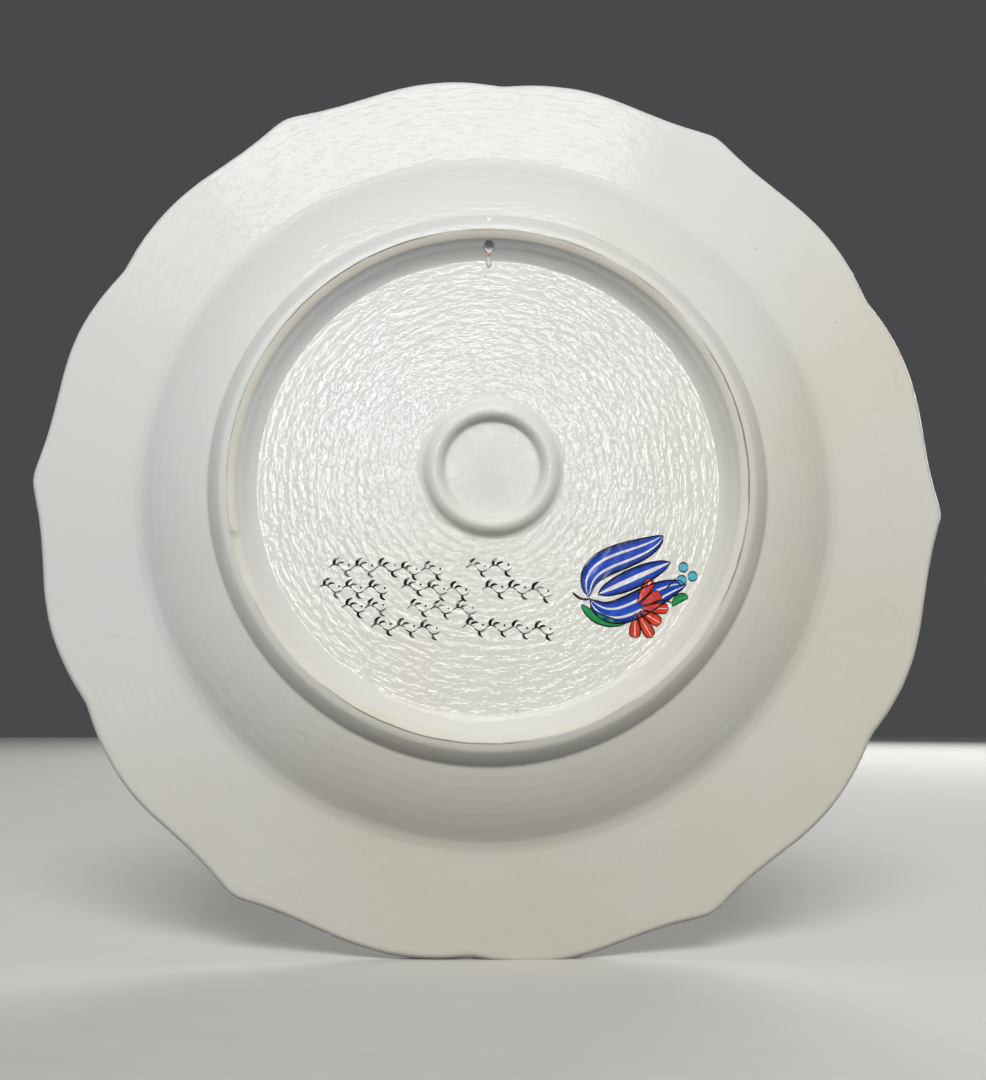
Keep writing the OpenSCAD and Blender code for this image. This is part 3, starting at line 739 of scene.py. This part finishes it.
def bare_clay():
    """Fired stonepaste where the glaze was wiped off the foot: matt, beige and fine grained, with a
    brown line of dirt along the outer edge of the band, a brown smudge, and red clay in the hole."""
    material, tree = new_finish("wiped stonepaste clay")
    where = add_node(tree, "ShaderNodeTexCoord").outputs["Object"]
    axes = add_node(tree, "ShaderNodeSeparateXYZ", {0: where})
    grain = add_node(tree, "ShaderNodeTexNoise", {"Vector": where, "Scale": 900.0, "Detail": 4.0})
    clouds = add_node(tree, "ShaderNodeTexNoise", {"Vector": where, "Scale": 45.0, "Detail": 3.0})
    body = add_node(tree, "ShaderNodeMix", {"Factor": clouds, "A": hex_colour("#DEDCD4"),
                                            "B": hex_colour("#CDC7B6")}, data_type="RGBA")
    # Dirt in a line 0.5 mm wide where the band meets the glaze outside it, broken every few mm
    flat = add_node(tree, "ShaderNodeCombineXYZ", {0: axes.outputs["X"], 1: axes.outputs["Z"]})
    radius = add_node(tree, "ShaderNodeVectorMath", {0: flat}, operation="LENGTH")
    breaks = add_node(tree, "ShaderNodeTexNoise", {"Vector": where, "Scale": 140.0, "Detail": 3.0})
    stray = add_node(tree, "ShaderNodeMath", {0: breaks, 1: 0.9 * MM, 2: radius.outputs["Value"]},
                     operation="MULTIPLY_ADD")
    off = add_node(tree, "ShaderNodeMath", {0: stray, 1: (BAND_IN_R + BAND_W + 0.25) * MM},
                   operation="SUBTRACT")
    away = add_node(tree, "ShaderNodeMath", {0: off}, operation="ABSOLUTE")
    line = add_node(tree, "ShaderNodeMapRange", {"Value": away, "From Min": 0.4 * MM,
                                                "From Max": 0.1 * MM, "To Max": 0.75})
    stretch = add_node(tree, "ShaderNodeTexNoise", {"Vector": where, "Scale": 22.0, "Detail": 2.0})
    where_dirty = add_node(tree, "ShaderNodeMapRange", {"Value": stretch, "From Min": 0.38,
                                                       "From Max": 0.58})
    broken = add_node(tree, "ShaderNodeMath", {0: line, 1: where_dirty}, operation="MULTIPLY")
    # A brown smudge 8 mm long on the band at the left
    smudge_off = add_node(tree, "ShaderNodeVectorMath", {0: where, 1: (-77.6 * MM, 0, -15 * MM)},
                          operation="DISTANCE")
    smudge = add_node(tree, "ShaderNodeMapRange", {"Value": smudge_off.outputs["Value"],
                                                  "From Min": 4.6 * MM, "From Max": 1 * MM,
                                                  "To Max": 0.6})
    scribbled = add_node(tree, "ShaderNodeMapRange", {"Value": breaks, "From Min": 0.48,
                                                     "From Max": 0.6})
    smudged = add_node(tree, "ShaderNodeMath", {0: smudge, 1: scribbled}, operation="MULTIPLY")
    dirt = add_node(tree, "ShaderNodeMath", {0: broken, 1: smudged}, operation="MAXIMUM")
    lined = add_node(tree, "ShaderNodeMix", {"Factor": dirt, "A": body, "B": hex_colour("#4E4334")},
                     data_type="RGBA")
    # Red clay inside the hanging hole
    in_hole = by_the_hole(tree, where, 0.02, 0.15)
    red = add_node(tree, "ShaderNodeMix", {"Factor": in_hole, "A": lined,
                                           "B": hex_colour("#C9764F")}, data_type="RGBA")
    bump = add_node(tree, "ShaderNodeBump", {"Height": grain, "Strength": 1.0,
                                             "Distance": 0.02 * MM})
    shader = add_node(tree, "ShaderNodeBsdfPrincipled", {
        "Base Color": red, "Roughness": 0.72, "IOR": 1.5, "Normal": bump})
    add_node(tree, "ShaderNodeOutputMaterial", {"Surface": shader})
    return material


def brushed_colour(name, full, thin, deep):
    """Underglaze colour laid with a soft brush and fired under the glaze: deepest where the stroke
    pooled along its edges, thinner in streaks along its middle, with the glaze's own gloss on top."""
    material, tree = new_finish(name)
    where = add_node(tree, "ShaderNodeTexCoord")
    streak_at = add_node(tree, "ShaderNodeMapping", {"Vector": where.outputs["UV"],
                                                     "Scale": (0.12, 2.6, 1.0)})
    streaks = add_node(tree, "ShaderNodeTexNoise", {"Vector": streak_at, "Scale": 1.0,
                                                    "Detail": 3.0})
    patches = add_node(tree, "ShaderNodeTexNoise", {"Vector": where.outputs["Object"],
                                                    "Scale": 260.0, "Detail": 2.0})
    mixed = add_node(tree, "ShaderNodeMath", {0: streaks, 1: patches}, operation="ADD")
    worn = add_node(tree, "ShaderNodeMapRange", {"Value": mixed, "From Min": 0.95,
                                                "From Max": 1.35})
    middle = add_node(tree, "ShaderNodeMix", {"Factor": worn, "A": hex_colour(full),
                                              "B": hex_colour(thin)}, data_type="RGBA")
    axes = add_node(tree, "ShaderNodeSeparateXYZ", {0: where.outputs["UV"]})
    side = add_node(tree, "ShaderNodeMath", {0: axes.outputs["Y"]}, operation="ABSOLUTE")
    pooled = add_node(tree, "ShaderNodeMapRange", {"Value": side, "From Min": 0.55,
                                                  "From Max": 1.0})
    colour = add_node(tree, "ShaderNodeMix", {"Factor": pooled, "A": middle,
                                              "B": hex_colour(deep)}, data_type="RGBA")
    waves = add_node(tree, "ShaderNodeTexNoise", {"Vector": where.outputs["Object"],
                                                  "Scale": 520.0, "Detail": 1.5})
    bump = add_node(tree, "ShaderNodeBump", {"Height": waves, "Strength": 1.0,
                                             "Distance": 0.03 * MM})
    shader = add_node(tree, "ShaderNodeBsdfPrincipled", {
        "Base Color": colour, "Roughness": 0.12, "IOR": 1.52, "Normal": bump})
    add_node(tree, "ShaderNodeOutputMaterial", {"Surface": shader})
    return material


BACK_GLAZE = milk_glaze("milk white glaze, back", peel=3.0, rings=3.2, streak=22.0)
HOLLOW_GLAZE = milk_glaze("milk white glaze over turning rings", peel=2.4, rings=4.0,
                          streak=14.0, cream_and_shade=0.7)
RUN_GLAZE = milk_glaze("milk white glaze, thick run", peel=0.8)
FACE_GLAZE = milk_glaze("milk white glaze, face", peel=1.5, rings=0.3, streak=18.0, cream_and_shade=0.8)
CLAY = bare_clay()
COBALT = brushed_colour("cobalt blue underglaze", "#1F45B0", "#2F5CCB", "#0B1F66")
RED = brushed_colour("red slip underglaze", "#D43A22", "#E2553A", "#A82414")
GREEN = brushed_colour("copper green underglaze", "#1D8A48", "#37A45C", "#0C5A2C")
TURQUOISE = brushed_colour("turquoise underglaze", "#56AFC6", "#7CC6D6", "#2B7E98")
BLACK = brushed_colour("black outline underglaze", "#15130F", "#2A2620", "#0B0A08")

# ---- Clay ----

# The dish lies a hair under its coats. The foot's slopes are left to the foot ring.
UNDER_COAT = -0.03
FINE = 20
core = raised(joined([(0, -FOOT_HOLLOW), (FLOOR_R, -FOOT_HOLLOW)],
                     straight((FLOOR_R + 1, -FOOT_HOLLOW), (GROOVE_R, -FOOT_HOLLOW), 3),
                     back_line(FINE)[FINE // 2 + 1:], face_line(14)), UNDER_COAT)
core[0], core[-1] = (0, core[0][1]), (0, core[-1][1])
dish_clay = turned("dish_clay", core, CLAY, rings=240)

foot_loop = joined(inner_slope(16),
                   bent((BAND_IN_R, -BAND_LEAN), (BAND_IN_R + BAND_W, 0), 0.5, 0.8, 6),
                   outer_slope(16), [(GROOVE_R, -FOOT_HOLLOW)])
foot_ring_clay = turned("foot_ring_clay", foot_loop, CLAY, rings=360)

# ---- Glaze ----

outside = back_line(34)
back_coat = turned("back_glaze_coat", raised(outside, faded(outside, COAT, start=5)) +
                   list(reversed(back_line(16)[:-1])), BACK_GLAZE, rings=560,
                   Relief=0.35 * MM, Relief_size=0.045, Ripple=0.035 * MM, Ripple_pitch=0.0036)

inside = joined(straight((0, -FOOT_HOLLOW), (FLOOR_R, -FOOT_HOLLOW), 110), inner_slope(16))
hollow_coat = turned("hollow_glaze_coat", raised(inside, faded(inside, COAT, end=5)) +
                     list(reversed(joined(straight((0, -FOOT_HOLLOW), (FLOOR_R, -FOOT_HOLLOW), 4),
                                          inner_slope(6)[:-1]))), HOLLOW_GLAZE, rings=420,
                     Relief=0.25 * MM, Relief_size=0.03, Ripple=0.045 * MM, Ripple_pitch=0.0031)

face = face_line(30)
face_coat = turned("face_glaze_coat", raised(face, COAT) + list(reversed(face_line(8)[1:])),
                   FACE_GLAZE, rings=480, Relief=0.3 * MM, Relief_size=0.05)

# The support ring's clay, and the glaze that runs over it and pools inside
def support_line(steps=8):
    return joined(bent((SUPPORT_R - SUPPORT_W, 0), (SUPPORT_CREST_R, SUPPORT_H), 0.5, 1, steps),
                  bent((SUPPORT_CREST_R, SUPPORT_H), (SUPPORT_R, 0), 0.5, 0, steps))


def on_support(line):
    return [(r, h - FOOT_HOLLOW) for r, h in line]


support_centre = (SUPPORT_AT.x * MM, 0, SUPPORT_AT.z * MM)
support_clay = turned("support_ring_clay", on_support(support_line()), CLAY, rings=160,
                      Centre=support_centre)
over_support = joined(straight((0, COAT + 0.12), (SUPPORT_R - 8, COAT + 0.1), 12),
                      eased(joined([(SUPPORT_R - 8, COAT + 0.1), (SUPPORT_R - 6.9, COAT + 0.5)],
                                   raised(support_line(), COAT),
                                   [(SUPPORT_R + 0.9, COAT + 0.25), (SUPPORT_R + 2.2, COAT - 0.1)]),
                            2))
support_coat = turned("support_ring_glaze_coat",
                      on_support(over_support + [(SUPPORT_R + 2.2, 0.1), (0, 0.1)]),
                      HOLLOW_GLAZE, rings=220, Centre=support_centre,
                      Relief=0.5 * MM, Relief_size=0.009)


def glaze_drip():
    """The run of glaze from the hanging hole down the foot's inner slope to a bead on the floor."""
    slope = raised(inner_slope(12), COAT - 0.05)
    path = sweep([(FLOOR_R - 2.6, COAT - FOOT_HOLLOW), (FLOOR_R - 0.6, COAT - FOOT_HOLLOW),
                  slope[1], slope[2], slope[3], slope[5]], 22)
    corners = 14
    shape = bmesh.new()
    rows = []
    for i, (r, h) in enumerate(path):
        t = i / (len(path) - 1)
        q, n = path[max(i - 1, 0)], path[min(i + 1, len(path) - 1)]
        run = math.dist(q, n)
        out = Vector((0, -(n[0] - q[0]) / run, -(n[1] - q[1]) / run))
        full = min(1, math.sqrt(t / 0.16)) * min(1, math.sqrt((1 - t) / 0.06 + 0.02))
        wide, tall = (0.95 + 0.25 * t) * full, (0.75 - 0.2 * t) * full
        centre = Vector((0, -h, r))
        rows.append([shape.verts.new((centre + Vector((wide * math.cos(a), 0, 0))
                                      + out * tall * math.sin(a)) * MM)
                     for a in (math.tau * k / corners for k in range(corners))] if full > 0.05 else
                    [shape.verts.new(centre * MM)])
    for a, b in zip(rows, rows[1:]):
        for k in range(corners):
            ring = [a[k % len(a)], a[(k + 1) % len(a)], b[(k + 1) % len(b)], b[k % len(b)]]
            shape.faces.new(list(dict.fromkeys(ring)))
    if len(rows[-1]) > 1:
        shape.faces.new(rows[-1])
    bmesh.ops.recalc_face_normals(shape, faces=shape.faces)
    mesh = bpy.data.meshes.new("glaze_drip")
    shape.to_mesh(mesh)
    shape.free()
    mesh.shade_smooth()
    mesh.materials.append(RUN_GLAZE)
    return in_scene("glaze_drip", mesh)


drip = glaze_drip()


def drilled(pieces):
    """The hanging hole, drilled up through the foot ring and the glaze on both sides of it."""
    shape = bmesh.new()
    bmesh.ops.create_cone(shape, cap_ends=True, segments=40, radius1=HOLE_R * MM,
                          radius2=HOLE_R * MM, depth=(GROOVE_R - FLOOR_R + 8) * MM,
                          matrix=Matrix.Translation((0, HOLE_DEPTH * MM,
                                                     (GROOVE_R + FLOOR_R) / 2 * MM)))
    mesh = bpy.data.meshes.new("drill")
    shape.to_mesh(mesh)
    shape.free()
    drill = in_scene("drill", mesh)
    for piece in pieces:
        cut = piece.modifiers.new("hanging hole", "BOOLEAN")
        cut.object, cut.operation, cut.solver = drill, "DIFFERENCE", "EXACT"
        bpy.context.view_layer.update()
        done = bpy.data.meshes.new_from_object(
            piece.evaluated_get(bpy.context.evaluated_depsgraph_get()))
        piece.modifiers.clear()
        piece.data = done
        done.set_sharp_from_angle(angle=SHARP)
    bpy.data.objects.remove(drill)


drilled([foot_ring_clay, hollow_coat, back_coat])

# ---- Painting in the hollow of the foot ----

back_work = Brushwork(flip=False, seed=5)


def striped_tulip(work, h, w, colour, outline):
    """A tulip of two swept petals and a heart, each petal in bands with white left between them."""
    for mirrored in (False, True):
        with work.at((0, 0), mirrored=mirrored):
            work.stroke(colour, [(0.02 * w, 0), (0.62 * w, 0.1 * h), (0.2 * w, 0.66 * h),
                                 (0.38 * w, h)], 0.36 * w, POINTED,
                        bands=((-1, -0.58), (-0.38, 0.2), (0.4, 1)), steps=22, outline=outline)
    work.stroke(colour, [(0, 0.1 * h), (0, 0.5 * h), (0, 0.95 * h)], 0.27 * w, POINTED,
                bands=((-1, -0.26), (0.26, 1)), outline=outline)


def fan_of_petals(work, r, petals, colour, outline, spread=132):
    """A carnation seen from the side: a fan of wedge petals with notched tips."""
    for i in range(petals):
        with work.at((0, 0), turn=90 + spread * (i / (petals - 1) - 0.5)):
            length = r * (0.92 + 0.12 * (i % 2))
            work.stroke(colour, [(0.16 * r, 0), (0.6 * r, 0), (length, 0)], 0.34 * r, FAN,
                        bands=((-1, -0.08), (0.08, 1)), steps=12, outline=outline)


with back_work.at((31, -36), turn=-66):
    striped_tulip(back_work, 29, 22, "cobalt", 0.55)
with back_work.at((45, -39), turn=-106):
    fan_of_petals(back_work, 10, 6, "red", 0.35, spread=150)
back_work.stroke("green", [(28.5, -38), (33, -44), (42, -43.8)], 3.2, LEAF, outline=0.35)
back_work.stroke("green", [(56.5, -38.5), (59, -34.5), (61.5, -36)], 2.6, LEAF, outline=0.3)
for spot in ((60.2, -26.4), (63, -29.2), (59.6, -30.4)):
    back_work.dab("turquoise", spot, 1.5, outline=0.3)
back_work.stroke("black", [(25.6, -34), (28.4, -37.4), (31.4, -36)], 0.7)
back_work.stroke("black", [(54, -33.5), (56.6, -31.6), (57.8, -29.4)], 0.4)
back_work.stroke("black", [(50.6, -37.4), (53.8, -35.6), (57.2, -38)], 0.45)

flourishes = Brushwork(flip=False, seed=11)


def flourish_row(work, x, y, waves, pitch=7.0):
    """A waved stem with a touch of the brush at each crest and hollow."""
    for i in range(waves):
        with work.at((x + i * pitch, y - 0.04 * i * pitch), turn=work.hand.uniform(-5, 5),
                     size=work.hand.uniform(0.8, 0.9)):
            work.stroke("black", [(0, 0), (1.4, 1.7), (2.9, 1.5), (4.1, 0)], 0.42)
            work.stroke("black", [(4.1, 0), (5.3, -1.5), (6.8, -1.5), (8.3, 0)], 0.38)
            work.stroke("black", [(1.8, 1.1), (1.2, 2.9), (3.6, 3.7)], 1.15, TOUCH)
            work.stroke("black", [(2.9, 1.2), (3.8, 2.3), (5.4, 1.9)], 0.8, TOUCH)
            work.stroke("black", [(5.9, -1.1), (5.4, -2.7), (7.5, -3.2)], 1.0, TOUCH)
            work.dab("black", (7.0, 1.0), 0.38)


for x, y, waves in ((-49, -26.8, 5), (-7, -26.8, 2), (-52, -33, 3), (-27, -33.3, 3),
                    (-2, -33.6, 3), (-45, -39.2, 2), (-25, -39.4, 3), (-36, -45.2, 3),
                    (-8, -45.2, 4)):
    flourish_row(flourishes, x, y, waves)

back_paints = [
    laid("sprig_cobalt", back_work, "cobalt", hollow_coat, COBALT, -1),
    laid("sprig_red_slip", back_work, "red", hollow_coat, RED, -1),
    laid("sprig_copper_green", back_work, "green", hollow_coat, GREEN, -1),
    laid("sprig_dots_turquoise", back_work, "turquoise", hollow_coat, TURQUOISE, -1),
    laid("sprig_outlines", back_work, "black", hollow_coat, BLACK, -1, Lift=0.075 * MM),
    laid("flourishes_black", flourishes, "black", hollow_coat, BLACK, -1, Lift=0.07 * MM)]

# ---- Painting on the face ----

well_work = Brushwork(flip=True, seed=3)
rim_work = Brushwork(flip=True, seed=4)
INK = 0.55


def rosette(work, spot, r, colour, heart):
    """Six round petals about a dab of another colour."""
    for i in range(6):
        a = math.radians(60 * i + 15)
        work.dab(colour, (spot[0] + 0.62 * r * math.cos(a), spot[1] + 0.62 * r * math.sin(a)),
                 0.31 * r, outline=0.4)
    work.dab(heart, spot, 0.24 * r, outline=0.35)


def painted_leaf(work, points, width, colour="green"):
    """A leaf with a dark edge and a dark vein."""
    work.stroke(colour, points, width, LEAF, steps=22, outline=0.45)
    work.stroke("black", points, 0.32, steps=22)


def face_tulip(work, h, w, petals, heart):
    for mirrored in (False, True):
        with work.at((0, 0), mirrored=mirrored):
            work.stroke(petals, [(0.02 * w, 0), (0.7 * w, 0.12 * h), (0.18 * w, 0.72 * h),
                                 (0.48 * w, h)], 0.4 * w, PETAL, steps=26, outline=INK)
            work.stroke("black", [(0.14 * w, 0.1 * h), (0.5 * w, 0.3 * h), (0.26 * w, 0.74 * h)],
                        0.35)
    work.stroke(heart, [(0, 0.12 * h), (0, 0.5 * h), (0, 0.92 * h)], 0.3 * w, PETAL, steps=20,
                outline=INK)


def face_carnation(work, r):
    fan_of_petals(work, r, 7, "red", 0.45)
    work.stroke("green", [(0, -0.32 * r), (0, 0), (0, 0.3 * r)], 0.34 * r, LEAF, outline=0.45)


for mirrored in (False, True):
    with well_work.at((0, 0), mirrored=mirrored):
        for points, width in (([(-1.6, -66), (-20, -42), (-9, -12)], 6.5),
                              ([(-3.5, -66), (-46, -60), (-47, -30)], 4.5),
                              ([(-37, 22), (-52, 14), (-54, 2)], 5),
                              ([(-4, -8), (-18, -2), (-17, 18)], 4.5)):
            painted_leaf(well_work, points, width)
        painted_leaf(well_work, [(-14, -54), (-40, -54), (-54, -40)], 5.0, "turquoise")
        well_work.stroke("black", [(-0.6, -64), (-30, -34), (-32, -8)], 0.8, steps=24)
        well_work.stroke("black", [(-0.6, -60), (-22, 0), (-38.4, 32.8)], 0.8, steps=24)
        with well_work.at((-32, -8), turn=28):
            face_tulip(well_work, 26, 20, "cobalt", "turquoise")
        with well_work.at((-40, 34), turn=38):
            face_carnation(well_work, 19)
        rosette(well_work, (-58, -22), 8, "cobalt", "red")
        rosette(well_work, (-21, 66), 7, "turquoise", "red")
well_work.stroke("black", [(0, -66), (1.2, -30), (0, 6)], 0.9, steps=24)
with well_work.at((0, 6)):
    face_tulip(well_work, 42, 30, "red", "green")

# Seen from the face the rim's points turn the other way
RIM_MID = (FACE_JUNCTION_R + DIP_R) / 2
RIM_W = DIP_R - FACE_JUNCTION_R
for turn, motif in ((0, "tulip"), (30, "rosette")):
    with rim_work.at((0, 0), turn=-FIRST_POINT + turn), rim_work.at((RIM_MID, 0), turn=-90):
        if motif == "tulip":
            with rim_work.at((0, -0.28 * RIM_W)):
                face_tulip(rim_work, 0.6 * RIM_W, 0.5 * RIM_W, "cobalt", "red")
        else:
            rosette(rim_work, (0, 0), 0.17 * RIM_W, "red", "cobalt")
for side in (-1, 1):
    for turn, colour, width, points in (
            (9, "green", 0.12, ((0.08, -0.34), (0.22, -0.05), (-0.02, 0.2))),
            (15, "turquoise", 0.14, ((0.2, -0.3), (-0.2, 0), (0.1, 0.34)))):
        with rim_work.at((0, 0), turn=-FIRST_POINT + side * turn), \
                rim_work.at((RIM_MID, 0), turn=-90):
            painted_leaf(rim_work, [(side * x * RIM_W, y * RIM_W) for x, y in points],
                         width * RIM_W, colour)


well_work.arc("cobalt", lambda turn: WELL_R - 1.8, 1.6, 360, 360)
rim_work.arc("cobalt", lambda turn: DIP_R - 0.195 * RIM_W + point_swell(
    HALF_PITCH - abs((turn + FIRST_POINT) % (2 * HALF_PITCH) - HALF_PITCH)), 0.05 * RIM_W, 60, 90)

PALETTE = (("cobalt", COBALT, "front_blue"), ("turquoise", TURQUOISE, "front_turquoise"),
           ("red", RED, "front_red"), ("green", GREEN, "front_green"),
           ("black", BLACK, "front_black"))
face_paints = [laid("face_" + colour, well_work, colour, face_coat, finish, 1, rim_work,
                    Lift=(0.075 if colour == "black" else 0.06) * MM)
               for colour, finish, _ in PALETTE]

# ---- The floor, the light and the camera ----


def floor():
    """Plain pale floor under the plate."""
    low = CAD_BOX[0].z
    mesh = bpy.data.meshes.new("floor")
    mesh.from_pydata([(-3, -2, low), (3, -2, low), (3, 3, low), (-3, 3, low)], [], [(0, 1, 2, 3)])
    piece = in_scene("floor", mesh)
    material, tree = new_finish("pale plaster floor")
    where = add_node(tree, "ShaderNodeTexCoord").outputs["Object"]
    grain = add_node(tree, "ShaderNodeTexNoise", {"Vector": where, "Scale": 60.0, "Detail": 4.0})
    colour = add_node(tree, "ShaderNodeMix", {"Factor": grain, "A": hex_colour("#C9C8C4"),
                                              "B": hex_colour("#CFCECA")}, data_type="RGBA")
    shader = add_node(tree, "ShaderNodeBsdfPrincipled", {"Base Color": colour, "Roughness": 0.8})
    add_node(tree, "ShaderNodeOutputMaterial", {"Surface": shader})
    mesh.materials.append(material)
    piece.visible_diffuse = False  # the floor throws no light up onto the plate


def soft_light(name, at, towards, width, height, power, turn=0.0, gleam=False):
    """A softbox. It either lights the plate or only gleams in its gloss."""
    lamp = bpy.data.lights.new(name, "AREA")
    lamp.shape, lamp.size, lamp.size_y, lamp.energy = "RECTANGLE", width, height, power
    obj = in_scene(name, lamp)
    obj.location = at
    aim = (Vector(towards) - Vector(at)).to_track_quat("-Z", "Y")
    obj.rotation_euler = (aim.to_matrix() @ Matrix.Rotation(math.radians(turn), 3, "Z")).to_euler()
    obj.visible_camera, obj.visible_glossy, obj.visible_diffuse = False, gleam, not gleam


floor()
soft_light("window overhead", (-0.115, -0.61, 0.93), (-0.02, 0.03, 0.12), 0.95, 0.34, 3.1, turn=10,
           gleam=True)
soft_light("window overhead, far end", (-0.72, -0.61, 0.8), (-0.1, 0.03, 0.09), 0.26, 0.34, 0.4,
           turn=10, gleam=True)
soft_light("window behind", (0.0, -1.7, 0.37), (0, 0, 0), 0.45, 0.32, 4, gleam=True)
soft_light("high key", (0, -2.2, 1.54), (0, 0, 0), 1.4, 0.9, 73)
soft_light("soft front", (0, -2.0, 0.3), (0, 0, 0), 4.2, 3.2, 9)
soft_light("soft light on the face", (0.9, 2.0, 1.1), (0, 0, 0), 2.0, 1.4, 44)
soft_light("window by the face", (1.4, 1.4, 0.6), (0, 0, 0), 0.5, 0.9, 5, gleam=True)

world = bpy.data.worlds.new("dim studio")
world.use_nodes = True
world.node_tree.nodes["Background"].inputs["Color"].default_value = hex_colour("#8C8D90")
world.node_tree.nodes["Background"].inputs["Strength"].default_value = 0.25
bpy.context.scene.world = world

lens = bpy.data.cameras.new("camera")
lens.lens, lens.sensor_width, lens.clip_start = 40.0, 36.0, 0.01
camera = in_scene("camera", lens)
camera.location = (-0.00695, -0.3612, -0.0697)
camera.rotation_euler = (math.radians(90 + 8.0), 0, math.radians(-1.29))
bpy.context.scene.camera = camera
bpy.context.scene.view_settings.view_transform = "Standard"

# ---- What rides where ----

for piece, slot, nodes in (
        (dish_clay, "clay", ["dish"]), (foot_ring_clay, "clay", ["foot_ring"]),
        (back_coat, "glaze", ["back_glaze"]), (hollow_coat, "glaze", ["foot_hollow_glaze"]),
        (face_coat, "glaze", ["front_glaze"]), (support_clay, "clay", ["support_ring"]),
        (support_coat, "glaze", ["support_ring_glaze"]), (drip, "glaze", ["glaze_run"]),
        *zip(back_paints, ("paint_blue", "paint_red", "paint_green", "paint_turquoise",
                           "paint_black", "paint_black"),
             (["sprig_blue"], ["sprig_red"], ["sprig_green"], ["sprig_turquoise"],
              ["sprig_black"], ["scroll_black"])),
        *zip(face_paints, ("paint_blue", "paint_turquoise", "paint_red", "paint_green",
                           "paint_black"), ([node] for _, _, node in PALETTE))):
    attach(piece, "root")
    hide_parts(*nodes)
